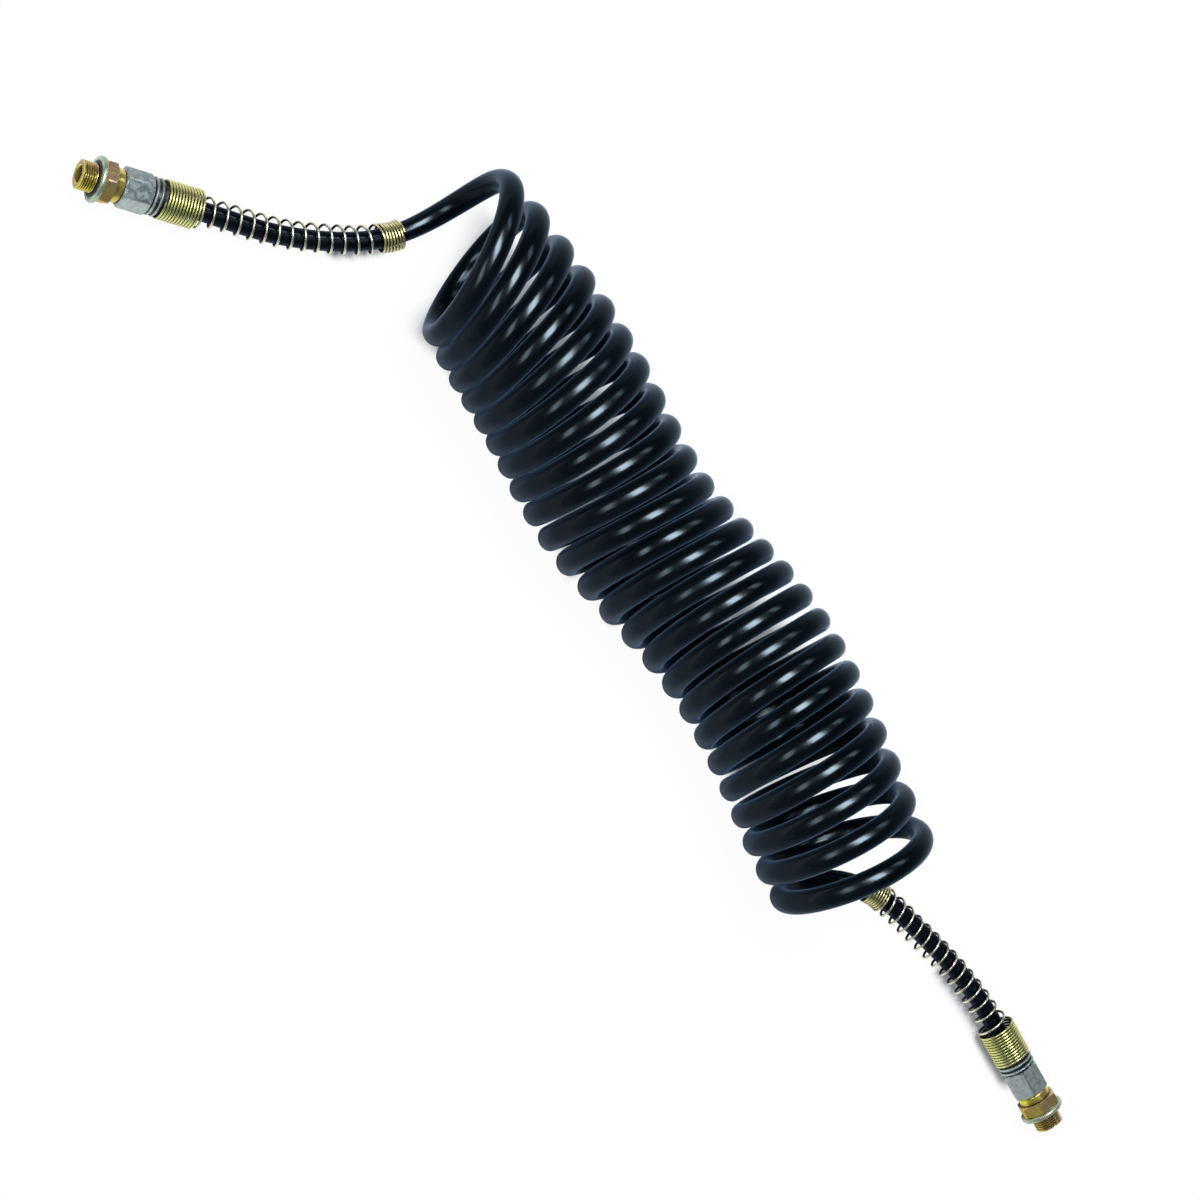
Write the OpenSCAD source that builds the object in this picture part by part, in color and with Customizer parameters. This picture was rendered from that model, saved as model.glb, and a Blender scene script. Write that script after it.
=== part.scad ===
// Coiled air hose with a screwed connector and a spring kink guard at each end.
// The hose lies on the plane Z = 0 with its coil along X. Every end piece is drawn about
// its own local Z, from the stud's tip inwards along the hose, and then laid in place.

/* [Hose] */
// Outside diameter of the hose
hose_d = 12; // [11:0.1:12.4]
// Wall of the hose
hose_wall = 1.5; // [1:0.1:1.8]

/* [Coil] */
// Diameter of the coil, measured across the hose's centre line
coil_d = 96; // [90:1:104]
// Thickness of the hose in the coil, where the turns are pressed oval
turn_d = 13; // [12:0.1:13.6]

/* [Threaded stud] */
// Outside diameter of the stud's thread
stud_d = 18; // [17:0.1:18.6]
// Length of the threaded stud in front of the seal
stud_len = 9.2; // [7:0.1:11]
// Chamfer at the stud's tip
stud_chamfer = 1; // [0.5:0.1:1.5]
// Diameter of the plain neck that carries the seal
undercut_d = 16.4; // [15.5:0.1:16.8]
// Bore that the air flows through
bore_d = 10.6; // [8:0.1:10.8]

/* [Seal] */
// Thickness of the O-ring's cord
oring_cord = 3; // [2.4:0.1:3.2]
// Outside diameter of the retaining ring
ring_d = 28.4; // [25.6:0.1:28.8]
// Length of the retaining ring along the stud
ring_len = 3.2; // [2.4:0.1:4]
// Depth of the cup in the ring that holds the O-ring
ring_cup = 2.4; // [1:0.1:2.6]
// Rounding of the ring's outer edges
ring_edge = 0.6; // [0.2:0.1:1]

/* [Connector body] */
// Width across flats of the connector's hexagon
hex_af = 24; // [23:0.1:24.4]
// Length of the connector's hexagon
hex_len = 7.7; // [6:0.1:9]
// Diameter of the round neck between hexagon and nut
neck_d = 20.6; // [19:0.1:21.6]
// Length of the round neck
neck_len = 5.1; // [4:0.1:6]
// Outside diameter of the thread under the nut
union_d = 18; // [17.4:0.1:18.4]
// Length of the thread under the nut
union_len = 10.5; // [9:0.1:12]
// Depth of the socket that takes the hose
socket_depth = 14.4; // [12:0.1:16]
// Length of the cone at the socket's mouth
cone_len = 4.2; // [3.4:0.1:5]
// Angle between the cone and the axis
cone_angle = 12; // [8:0.5:14]

/* [Union nut] */
// Width across flats of the union nut
nut_af = 22; // [21.4:0.1:23]
// Length of the nut's hexagon
nut_hex_len = 18.3; // [15.2:0.1:19]
// Diameter of the two ribs behind the hexagon
rib_d = 23.4; // [21.4:0.1:23.8]
// Width of each rib
rib_len = 1.7; // [1.2:0.1:2]
// Width of the groove between the ribs
rib_groove = 1.6; // [1:0.1:2]
// Diameter of the spigot that carries the spring
spigot_d = 19.8; // [19.6:0.1:20.4]
// Length of the spigot
spigot_len = 9.5; // [6:0.1:14]
// Gap between the neck and the nut when it is tight
nut_gap = 0.4; // [0.3:0.1:1]

/* [Ferrule and sleeve] */
// Outside diameter of the cutting ring's shoulder
ferrule_d = 16.4; // [15.8:0.1:16.8]
// Length of the cutting ring
ferrule_len = 6.4; // [5.8:0.1:7.2]
// Wall of the support sleeve inside the hose
sleeve_wall = 0.6; // [0.4:0.1:0.9]
// Length of the support sleeve
sleeve_len = 17; // [14:0.5:22]
// Thickness of the support sleeve's flange
sleeve_flange = 1; // [0.6:0.1:1.4]

/* [Spring guard] */
// Thickness of the spring wire
wire_d = 1.8; // [1.4:0.1:2]
// Turns wound close together on the nut
turns_on_nut = 12; // [10:1:14]
// Turns wound open along the hose
turns_open = 14; // [8:1:16]
// Turns wound close together on the hose
turns_on_hose = 7; // [4:1:9]
// Distance between open turns
open_pitch = 8.5; // [6:0.1:8.6]
// Outside diameter of the turns along the hose
open_d = 18.4; // [17.8:0.1:19.2]

/* [Ends on the ground] */
// Height of each stud's tip above the ground
tip_height = 14.8; // [14.6:0.1:16]
// How far each end piece slopes down towards the hose, in degrees
droop = 1.5; // [1:0.1:1.8]
// Direction in which the first end points inwards, in degrees
heading_a = 41; // [39:0.5:43]
// Direction in which the second end points inwards, in degrees
heading_b = 178; // [176:0.5:180]

/* [Hidden] */

// Fits
thread_gap = 0.05;
slide_gap = 0.1;
seat_gap = 0.05;
rib_step = 0.8;
spring_step = 1.1;
hose_gap = 0.4;
spring_gap = 0.3;
wire_gap = 0.15;

// Tips of the two studs on the ground plan
tip_a = [-428.5, -111];
tip_b = [433.5, 102.5];

// Turn of the connector and of the nut about their axis, first end and second end
body_turn = [0, 42];
nut_turn = [30, 42];

// Route of the hose from the straight first end up to the coil
route_a = [[-354, -47, 12.4], [-339, -34, 11.6], [-325, -20, 10.9], [-312, -4, 10.3],
           [-300, 13, 9.9], [-291.5, 31, 9.6], [-286.8, 48, 9.7], [-285.2, 63, 11.8],
           [-285.4, 76.2, 18.2], [-286.8, 87.2, 28.2], [-288.9, 94.7, 41], [-290.8, 98, 54]];
// Route of the hose from the straight second end up to the coil
route_b = [[334, 105.5, 11.9], [315, 103.6, 11.1], [296, 100.2, 10.5], [277, 95.8, 10.1],
           [258.5, 91.2, 9.8], [242, 85.8, 9.6], [228, 78.5, 9.3], [216, 69.6, 8.4],
           [207, 58.6, 7.9], [200, 45.8, 10.1], [194, 34, 16.7], [189.2, 24.2, 27],
           [186, 17.8, 40], [184.7, 15.2, 54.5]];
// Turns of the coil: centre on the ground plan, direction and lean in degrees
route_coil = [[-262, 56, 27, 9.5], [-223.5, 58, 15, 12], [-190.5, 59.5, 7, 10.5],
              [-159, 59, 1, 8.5], [-126.5, 57.5, -4.5, 8], [-92.5, 56, -9.5, 10.5],
              [-58, 59, -12, 14.5], [-23.5, 66.5, -11.5, 18], [11.5, 73.5, -10, 20.5],
              [46.5, 77, -9, 21], [80.5, 76.5, -8, 18.5], [114, 72.5, -8.5, 14],
              [149.5, 67, -10, 8], [190.5, 62.5, -15, 2.5]];
// Sideways reference that sets where the rings of points around each tail start
side_a = [0.86, -0.51, 0];
side_b = [0.8, -0.6, 0];

// Radii that the pieces share
hose_r = hose_d / 2;
lumen_r = hose_r - hose_wall;
stud_r = stud_d / 2;
undercut_r = undercut_d / 2;
bore_r = bore_d / 2;
union_r = union_d / 2;
socket_r = hose_r + slide_gap;
nut_hole_r = hose_r + hose_gap;
spigot_r = spigot_d / 2;
mouth_r = socket_r + cone_len * tan(cone_angle);

// Stations along each end piece, measured from the stud's tip
cup_floor = stud_len + oring_cord + 2 * seat_gap;
ring_front = cup_floor - ring_cup;
ring_back = ring_front + ring_len;
hex_start = ring_back + seat_gap;
hex_end = hex_start + hex_len;
neck_end = hex_end + neck_len;
union_end = neck_end + union_len;
socket_start = union_end - socket_depth;
cone_start = union_end - cone_len;
nut_front = neck_end + nut_gap;
groove_start = nut_front + nut_hex_len;
rib_1 = groove_start + rib_step;
rib_2 = rib_1 + rib_len + rib_groove;
spigot_start = rib_2 + rib_len;
spigot_end = spigot_start + spigot_len;
hose_start = socket_start + sleeve_flange + 2 * seat_gap;
ferrule_front = cone_start + 1.4;
ferrule_step = union_end + slide_gap;
ferrule_end = ferrule_front + ferrule_len;
straight_len = 80;

// Spring guard: close turns on the nut, open turns, close turns on the hose
close_pitch = wire_d + wire_gap;
guard_start = spigot_start + wire_d / 2 + spring_step;
guard_turns = turns_on_nut + turns_open + turns_on_hose;
wire_sides = 6;
wire_steps = 10;
guard_nut_r = (spigot_r + spring_gap + wire_d / 2) / cos(180 / wire_steps);
guard_hose_r = (open_d - wire_d) / 2;

hose_sides = 12;
coil_sides = 36;
ring_spacing = 12;
fine = 96;

// ---- Curves ----

function unit(v) = v / norm(v);

// Smooth curve through a list of points, with a few steps between neighbours
function curve_point(a, b, c, d, t) =
    0.5 * ((2 * b) + (c - a) * t + (2 * a - 5 * b + 4 * c - d) * t * t
           + (3 * b - a - 3 * c + d) * t * t * t);
function smooth(p, steps) =
    let (last = len(p) - 1)
    concat(
        [for (i = [0 : last - 1], k = [0 : steps - 1])
            curve_point(p[max(i - 1, 0)], p[i], p[i + 1], p[min(i + 2, last)], k / steps)],
        [p[last]]);

// Running length along a list of points
function running(p) =
    [for (i = 0, s = 0; i < len(p);
          s = s + (i < len(p) - 1 ? norm(p[i + 1] - p[i]) : 0), i = i + 1) s];

// A path is one table per axis, each of [length along the path, coordinate]
function path_table(p) =
    let (s = running(p))
    [for (axis = [0 : 2]) [for (i = [0 : len(p) - 1]) [s[i], p[i][axis]]]];
function path_end(path) = path[0][len(path[0]) - 1][0];
function path_at(path, s) = [for (axis = [0 : 2]) lookup(s, path[axis])];
function path_heading(path, s) = unit(path_at(path, s + 1) - path_at(path, s - 1));

// Two directions square to the path, the first square to the side vector as well
function across(path, s, side) = unit(cross(side, path_heading(path, s)));
function along(heading_angle) =
    [cos(heading_angle) * cos(droop), sin(heading_angle) * cos(droop), -sin(droop)];

// Points on the straight stretch of an end piece, followed by its route
function end_points(tip, heading_angle, route) =
    concat([for (t = [0 : 20 : straight_len])
                [tip[0], tip[1], tip_height] + t * along(heading_angle)],
           route);

path_a = path_table(smooth(end_points(tip_a, heading_a, route_a), 5));
path_b = path_table(smooth(end_points(tip_b, heading_b, route_b), 5));

// A ring of points around the path at one station
function ring_points(path, s, radius, sides, side) =
    let (c = path_at(path, s), u = across(path, s, side), v = cross(path_heading(path, s), u))
    [for (j = [0 : sides - 1])
        let (a = 360 * j / sides)
        c + radius * (cos(a) * u + sin(a) * v)];

// Faces between neighbouring rings of points, two triangles for each side
function skin(rings, sides, first = 0, inside = false) =
    [for (i = [0 : rings - 2], j = [0 : sides - 1])
        let (a = first + i * sides + j, b = first + i * sides + (j + 1) % sides)
        each inside
            ? [[a, b, b + sides], [a, b + sides, a + sides]]
            : [[a, b + sides, b], [a, a + sides, b + sides]]];

// Faces of the flat rim between an outer and an inner ring of points
function rim(outer, inner, sides, far) =
    [for (j = [0 : sides - 1])
        let (k = (j + 1) % sides)
        far ? [outer + k, outer + j, inner + j, inner + k]
            : [outer + j, outer + k, inner + k, inner + j]];

// ---- Shared solids ----

module turned(profile) {
    rotate_extrude($fn = fine)
        polygon(profile);
}

// Hexagon bar with turned chamfers at both ends
module chamfered_hexagon(across_flats, start, length) {
    corner_r = across_flats / 2 / cos(30);
    flat_r = across_flats / 2 - 0.2;
    rise = (corner_r - flat_r) * tan(30);
    intersection() {
        translate([0, 0, start])
            cylinder(h = length, r = corner_r, $fn = 6);
        turned([[0, start], [flat_r, start], [corner_r, start + rise],
                [corner_r, start + length - rise], [flat_r, start + length],
                [0, start + length]]);
    }
}

// Lays an end piece, drawn along its local Z from the tip, in its place
module at_end(second, turn = [0, 0]) {
    tip = second ? tip_b : tip_a;
    heading_angle = second ? heading_b : heading_a;
    translate([tip[0], tip[1], tip_height])
        rotate([0, 90 + droop, heading_angle])
            rotate([0, 0, turn[second ? 1 : 0]])
                children();
}

// ---- Hose ----

// Hollow hose along a path between two stations
module hose_stretch(path, from, to, side) {
    rings = ceil((to - from) / ring_spacing) + 1;
    stations = [for (i = [0 : rings - 1]) from + (to - from) * i / (rings - 1)];
    outer = [for (s = stations) each ring_points(path, s, hose_r, hose_sides, side)];
    inner = [for (s = stations) each ring_points(path, s, lumen_r, hose_sides, side)];
    first_in = rings * hose_sides;
    last = (rings - 1) * hose_sides;
    polyhedron(
        points = concat(outer, inner),
        faces = concat(skin(rings, hose_sides),
                       skin(rings, hose_sides, first_in, inside = true),
                       rim(0, first_in, hose_sides, far = false),
                       rim(last, first_in + last, hose_sides, far = true)),
        convexity = 8);
}

module hose_tail(path, side) {
    color([0.1, 0.11, 0.13])
        hose_stretch(path, hose_start, path_end(path), side);
}

// Outline of one turn of the coil, standing on the ground and leaning with it
function turn_outline(row) =
    let (c = [row[0], row[1], (turn_d + coil_d * cos(row[3])) / 2],
         u = [-sin(row[2]), cos(row[2]), 0],
         v = cross([cos(row[2]) * cos(row[3]), sin(row[2]) * cos(row[3]), sin(row[3])], u))
    [for (j = [0 : coil_sides - 1])
        let (a = 360 * (j + 0.5) / coil_sides)
        c + (coil_d + turn_d) / 2 * (cos(a) * u + sin(a) * v)];

// The wound part as one solid of the coil's outside diameter
module hose_coil() {
    rows = smooth(route_coil, 2);
    last = (len(rows) - 1) * coil_sides;
    color([0.13, 0.15, 0.18])
        polyhedron(
            points = [for (row = rows) each turn_outline(row)],
            faces = concat(skin(len(rows), coil_sides),
                           [[for (j = [0 : coil_sides - 1]) j],
                            [for (j = [coil_sides - 1 : -1 : 0]) last + j]]),
            convexity = 4);
}

// ---- End pieces ----

module connector_body(second) {
    core_r = (union_r + mouth_r) / 2;
    color([0.76, 0.63, 0.3])
        at_end(second, body_turn)
            difference() {
                union() {
                    turned([[0, 0], [stud_r - stud_chamfer, 0], [stud_r, stud_chamfer],
                            [stud_r, stud_len - 0.6], [stud_r - 0.6, stud_len],
                            [undercut_r, stud_len], [undercut_r, hex_start],
                            [undercut_r, hex_end], [neck_d / 2, hex_end],
                            [neck_d / 2, neck_end - 0.8], [neck_d / 2 - 0.8, neck_end],
                            [union_r, neck_end], [union_r, union_end - 0.7],
                            [core_r, union_end], [0, union_end]]);
                    chamfered_hexagon(hex_af, hex_start, hex_len);
                }
                turned([[0, -1], [bore_r + 0.5, -1], [bore_r + 0.5, 0], [bore_r, 0.5],
                        [bore_r, socket_start], [socket_r, socket_start],
                        [socket_r, cone_start], [mouth_r, union_end],
                        [mouth_r, union_end + 1], [0, union_end + 1]]);
            }
}

module o_ring(second) {
    cord_r = oring_cord / 2;
    color([0.08, 0.08, 0.09])
        at_end(second)
            translate([0, 0, stud_len + seat_gap + cord_r])
                rotate_extrude($fn = fine)
                    translate([undercut_r + slide_gap + cord_r, 0])
                        circle(r = cord_r, $fn = 48);
}

module retaining_ring(second) {
    outer_r = ring_d / 2;
    inner_r = stud_r + slide_gap;
    cup_r = undercut_r + slide_gap + oring_cord + seat_gap;
    color([0.66, 0.71, 0.66])
        at_end(second)
            turned([[cup_r, ring_front], [outer_r - ring_edge, ring_front],
                    [outer_r, ring_front + ring_edge], [outer_r, ring_back - ring_edge],
                    [outer_r - ring_edge, ring_back], [inner_r, ring_back],
                    [inner_r, cup_floor], [cup_r, cup_floor]]);
}

// Cutting ring that bites into the hose when the nut is tightened
module ferrule(second) {
    inner_r = hose_r + seat_gap;
    nose_r = socket_r + (ferrule_front - cone_start) * tan(cone_angle) - seat_gap;
    cone_r = mouth_r - 0.3 * tan(cone_angle) - seat_gap;
    shoulder_r = ferrule_d / 2;
    back_rise = shoulder_r - inner_r - 0.5;
    color([0.78, 0.62, 0.28])
        at_end(second)
            turned([[inner_r, ferrule_front], [nose_r, ferrule_front],
                    [cone_r, union_end - 0.3], [cone_r, ferrule_step],
                    [shoulder_r, ferrule_step], [shoulder_r, ferrule_end - back_rise],
                    [inner_r + 0.5, ferrule_end], [inner_r, ferrule_end]]);
}

// Thin sleeve that keeps the hose round under the cutting ring
module support_sleeve(second) {
    outer_r = lumen_r - slide_gap - lumen_r * (1 - cos(180 / hose_sides));
    inner_r = outer_r - sleeve_wall;
    start = socket_start + seat_gap;
    color([0.8, 0.66, 0.34])
        at_end(second)
            turned([[inner_r, start], [hose_r, start], [hose_r, start + sleeve_flange],
                    [outer_r, start + sleeve_flange], [outer_r, start + sleeve_len],
                    [inner_r, start + sleeve_len]]);
}

// Rounded rib on the nut, as points of its turned outline
function rib(start, outer_r) =
    [[outer_r - 0.6, start], [outer_r, start + 0.6], [outer_r, start + rib_len - 0.6],
     [outer_r - 0.6, start + rib_len], [spigot_r + 0.6, start + rib_len]];

module union_nut(second) {
    thread_r = union_r + thread_gap;
    chamber_r = ferrule_d / 2 + slide_gap;
    back_rise = ferrule_d / 2 - hose_r - seat_gap - 0.5;
    cone_top = ferrule_end - back_rise + slide_gap;
    cone_bottom = cone_top + chamber_r - nut_hole_r;
    rib_r = rib_d / 2;
    color([0.72, 0.75, 0.77])
        at_end(second, nut_turn)
            difference() {
                union() {
                    chamfered_hexagon(nut_af, nut_front, nut_hex_len);
                    turned([[0, groove_start - 1], [spigot_r, groove_start - 1],
                            [spigot_r, rib_1], each rib(rib_1, rib_r), each rib(rib_2, rib_r),
                            [spigot_r, spigot_start], [spigot_r, spigot_end - 0.5],
                            [spigot_r - 0.5, spigot_end], [0, spigot_end]]);
                }
                turned([[0, nut_front - 1], [thread_r + 0.6, nut_front - 1],
                        [thread_r + 0.6, nut_front], [thread_r, nut_front + 0.6],
                        [thread_r, union_end + 0.2], [chamber_r, union_end + 0.2],
                        [chamber_r, cone_top], [nut_hole_r, cone_bottom],
                        [nut_hole_r, spigot_end + 1], [0, spigot_end + 1]]);
            }
}

// Distance along the path that the wire has travelled after a number of turns
function guard_travel(turns) =
    close_pitch * min(turns, turns_on_nut)
    + open_pitch * min(max(turns - turns_on_nut, 0), turns_open)
    + close_pitch * max(turns - turns_on_nut - turns_open, 0);

// Radius of the wire's centre line after a number of turns
function guard_radius(turns) =
    lookup(turns, [[0, guard_nut_r], [turns_on_nut, guard_nut_r],
                   [turns_on_nut + 0.8, guard_hose_r], [guard_turns, guard_hose_r]]);

// Centre of the wire after a number of turns about the path
function wire_point(path, turns, side) =
    let (s = guard_start + guard_travel(turns),
         u = across(path, s, side), v = cross(path_heading(path, s), u))
    path_at(path, s) + guard_radius(turns) * (cos(360 * turns) * u + sin(360 * turns) * v);

// Six-sided section of the wire, square to its own run
function wire_section(path, turns, side) =
    let (c = wire_point(path, turns, side),
         run = unit(wire_point(path, turns + 0.02, side) - wire_point(path, turns - 0.02, side)),
         out = unit(cross(cross(run, c - path_at(path, guard_start + guard_travel(turns))), run)),
         up = cross(run, out))
    [for (j = [0 : wire_sides - 1])
        let (a = 360 * j / wire_sides)
        c + wire_d / 2 * (cos(a) * out + sin(a) * up)];

// One wire wound from the nut's spigot along the curve of the hose
module guard_spring(path, side) {
    rings = guard_turns * wire_steps + 1;
    last = (rings - 1) * wire_sides;
    color([0.8, 0.72, 0.42])
        polyhedron(
            points = [for (i = [0 : rings - 1])
                each wire_section(path, 0.03 + i * (guard_turns - 0.06) / (rings - 1), side)],
            faces = concat(skin(rings, wire_sides),
                           [[for (j = [0 : wire_sides - 1]) j],
                            [for (j = [wire_sides - 1 : -1 : 0]) last + j]]),
            convexity = 20);
}

hose_coil();
hose_tail(path_a, side_a);  // hose_tail_a
hose_tail(path_b, side_b);  // hose_tail_b
connector_body(false);  // connector_body_a
o_ring(false);  // o_ring_a
retaining_ring(false);  // retaining_ring_a
ferrule(false);  // ferrule_a
support_sleeve(false);  // support_sleeve_a
union_nut(false);  // union_nut_a
guard_spring(path_a, side_a);  // guard_spring_a
connector_body(true);  // connector_body_b
o_ring(true);  // o_ring_b
retaining_ring(true);  // retaining_ring_b
ferrule(true);  // ferrule_b
support_sleeve(true);  // support_sleeve_b
union_nut(true);  // union_nut_b
guard_spring(path_b, side_b);  // guard_spring_b
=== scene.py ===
import math
import bmesh
import bpy
from mathutils import Matrix, Vector


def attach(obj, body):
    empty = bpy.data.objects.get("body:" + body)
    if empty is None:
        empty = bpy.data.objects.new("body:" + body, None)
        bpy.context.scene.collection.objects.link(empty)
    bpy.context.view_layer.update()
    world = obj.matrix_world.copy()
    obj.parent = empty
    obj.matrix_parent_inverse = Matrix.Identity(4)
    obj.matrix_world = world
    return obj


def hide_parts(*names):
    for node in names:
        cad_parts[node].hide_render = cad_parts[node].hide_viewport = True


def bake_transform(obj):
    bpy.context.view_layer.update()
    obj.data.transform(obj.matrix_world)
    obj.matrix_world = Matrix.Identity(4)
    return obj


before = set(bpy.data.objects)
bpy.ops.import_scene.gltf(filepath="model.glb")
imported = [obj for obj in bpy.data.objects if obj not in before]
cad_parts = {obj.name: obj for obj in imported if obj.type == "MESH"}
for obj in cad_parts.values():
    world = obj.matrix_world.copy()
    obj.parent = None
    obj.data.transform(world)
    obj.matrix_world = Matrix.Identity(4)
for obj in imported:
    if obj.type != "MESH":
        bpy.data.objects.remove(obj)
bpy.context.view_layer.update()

mm = 0.001
scene = bpy.context.scene


# Direction at a heading from +X towards +Y and a rise above the floor, both in degrees
def pointing(heading, rise):
    heading, rise = math.radians(heading), math.radians(rise)
    return Vector((math.cos(heading) * math.cos(rise), math.sin(heading) * math.cos(rise), math.sin(rise)))


# Place and turn of a camera or lamp, from its right, its up and what is behind it
def standing(place, right, up, behind):
    return Matrix.Translation(place) @ Matrix((right, up, behind)).transposed().to_4x4()


cameraView = {
    "target": (-36.7, 20.5, 31.6),  # mm, the point in the middle of the picture
    "distance": 3063,  # mm
    "elevation": 65,  # degrees above the floor
    "heading": 45,  # degrees from +X towards +Y
    "roll": 101,  # degrees clockwise
    "lens": 151.9,  # mm
    "sensor": 36,  # mm
}


def makeCamera(view):
    ahead = pointing(view["heading"], -view["elevation"])
    level = pointing(view["heading"] - 90, 0)
    rise = level.cross(ahead)
    roll = math.radians(view["roll"])
    right = math.cos(roll) * level + math.sin(roll) * rise
    up = math.cos(roll) * rise - math.sin(roll) * level
    data = bpy.data.cameras.new("camera")
    data.lens = view["lens"]
    data.sensor_width = view["sensor"]
    camera = bpy.data.objects.new("camera", data)
    place = Vector(view["target"]) * mm - ahead * view["distance"] * mm
    camera.matrix_world = standing(place, right, up, -ahead)
    scene.collection.objects.link(camera)
    scene.camera = camera


makeCamera(cameraView)
print("camera placed")


# Point on a smooth curve from b to c, where a comes before them and d after them
def curvePoint(a, b, c, d, t):
    return 0.5 * (2 * b + (c - a) * t + (2 * a - 5 * b + 4 * c - d) * t ** 2
                  + (3 * b - a - 3 * c + d) * t ** 3)


# Smooth line through points, the same curve as in the part's source
def throughPoints(points, steps):
    line = []
    last = len(points) - 1
    for i in range(last):
        a, b, c, d = points[max(i - 1, 0)], points[i], points[i + 1], points[min(i + 2, last)]
        line += [curvePoint(a, b, c, d, k / steps) for k in range(steps)]
    return line + [points[last]]


def runningLength(line):
    lengths = [0.0]
    for a, b in zip(line, line[1:]):
        lengths.append(lengths[-1] + (b - a).length)
    return lengths


# Points at equal steps along a line
def evenly(line, step):
    lengths = runningLength(line)
    count = round(lengths[-1] / step)
    out, k = [], 0
    for i in range(count + 1):
        s = lengths[-1] * i / count
        while k < len(line) - 2 and lengths[k + 1] < s:
            k += 1
        out.append(line[k].lerp(line[k + 1], (s - lengths[k]) / (lengths[k + 1] - lengths[k])))
    return out


# Directions square to a line that turn as little as possible along it
def steadyFrames(line, first):
    frames = []
    side = first
    for i in range(len(line)):
        ahead = (line[min(i + 1, len(line) - 1)] - line[max(i - 1, 0)]).normalized()
        side = (side - ahead * side.dot(ahead)).normalized()
        frames.append((side, ahead.cross(side)))
    return frames


def anglesAround(count):
    return [2 * math.pi * j / count for j in range(count)]


# Skin over rows of points; its UV map gives metres along the rows, and 0 to 1 around them
def gridMesh(name, rows, uvs, wrapRows=False, caps=False):
    columns = len(rows[0])
    mesh = bpy.data.meshes.new(name)
    points = [p for row in rows for p in row]
    count = len(rows) if wrapRows else len(rows) - 1
    faces = []
    corners = []
    for i in range(count):
        k = (i + 1) % len(rows)
        for j in range(columns):
            n = (j + 1) % columns
            faces.append((i * columns + j, i * columns + n, k * columns + n, k * columns + j))
            corners += [(uvs[i], j / columns), (uvs[i], (j + 1) / columns),
                        (uvs[i + 1], (j + 1) / columns), (uvs[i + 1], j / columns)]
    if caps:
        faces.append(tuple(reversed(range(columns))))
        faces.append(tuple((len(rows) - 1) * columns + j for j in range(columns)))
        corners += [(uvs[0], 0)] * columns + [(uvs[-1], 0)] * columns
    mesh.from_pydata(points, [], faces)
    layer = mesh.uv_layers.new(name="run")
    layer.data.foreach_set("uv", [v for corner in corners for v in corner])
    mesh.validate()
    mesh.update()
    return mesh


# Edges that turn by more than the sharp angle, in degrees, stay sharp
def addObject(name, mesh, material, sharpAngle):
    bm = bmesh.new()
    bm.from_mesh(mesh)
    bmesh.ops.recalc_face_normals(bm, faces=bm.faces)
    bm.to_mesh(mesh)
    bm.free()
    mesh.shade_smooth()
    mesh.set_sharp_from_angle(angle=math.radians(sharpAngle))
    mesh.materials.append(material)
    obj = bpy.data.objects.new(name, mesh)
    scene.collection.objects.link(obj)
    return obj


# Stops are (place, colour) or (place, value)
def setStops(ramp, stops):
    while len(ramp.elements) < len(stops):
        ramp.elements.new(0.5)
    for element, (at, colour) in zip(ramp.elements, stops):
        element.position = at
        element.color = (*colour, 1) if isinstance(colour, tuple) else (colour, colour, colour, 1)


# A material and short ways to add nodes to it
class Nodes:
    def __init__(self, name):
        self.material = bpy.data.materials.new(name)
        self.material.use_nodes = True
        self.tree = self.material.node_tree
        self.shader = self.tree.nodes["Principled BSDF"]
        self.place = self.tree.nodes.new("ShaderNodeTexCoord")

    def add(self, kind, links=(), **values):
        node = self.tree.nodes.new("ShaderNode" + kind)
        for key, value in values.items():
            if hasattr(node, key):
                setattr(node, key, value)
            else:
                node.inputs[key].default_value = value
        for socket, source in links:
            self.tree.links.new(source, node.inputs[socket])
        return node

    def feed(self, node, socket, value):
        if isinstance(value, bpy.types.NodeSocket):
            self.tree.links.new(value, node.inputs[socket])
        else:
            node.inputs[socket].default_value = (*value, 1) if isinstance(value, tuple) else value

    def ramp(self, source, stops):
        node = self.add("ValToRGB", [(0, source)])
        setStops(node.color_ramp, stops)
        return node.outputs[0]

    def noise(self, scale, detail=3, stretch=(1, 1, 1), source=None):
        place = self.add("Mapping", [(0, source or self.place.outputs["Object"])])
        place.inputs["Scale"].default_value = stretch
        return self.add("TexNoise", [("Vector", place.outputs[0])], Scale=scale, Detail=detail).outputs[0]

    def mix(self, factor, a, b, way="MIX"):
        node = self.add("Mix", data_type="RGBA", blend_type=way)
        for socket, value in ((0, factor), (6, a), (7, b)):
            self.feed(node, socket, value)
        return node.outputs[2]

    def times(self, a, b):
        return self.mix(1, a, b, "MULTIPLY")

    def calc(self, operation, *terms):
        node = self.add("Math", operation=operation)
        for i, term in enumerate(terms):
            self.feed(node, i, term)
        return node.outputs[0]

    def apart(self, source):
        return self.add("SeparateXYZ", [(0, source)]).outputs

    def into(self, socket, source):
        self.tree.links.new(source, self.shader.inputs[socket])

    def fix(self, socket, value):
        self.feed(self.shader, socket, value)

    def bump(self, height, strength, distance):
        node = self.add("Bump", [("Height", height)], Strength=strength, Distance=distance)
        self.into("Normal", node.outputs[0])


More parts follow.
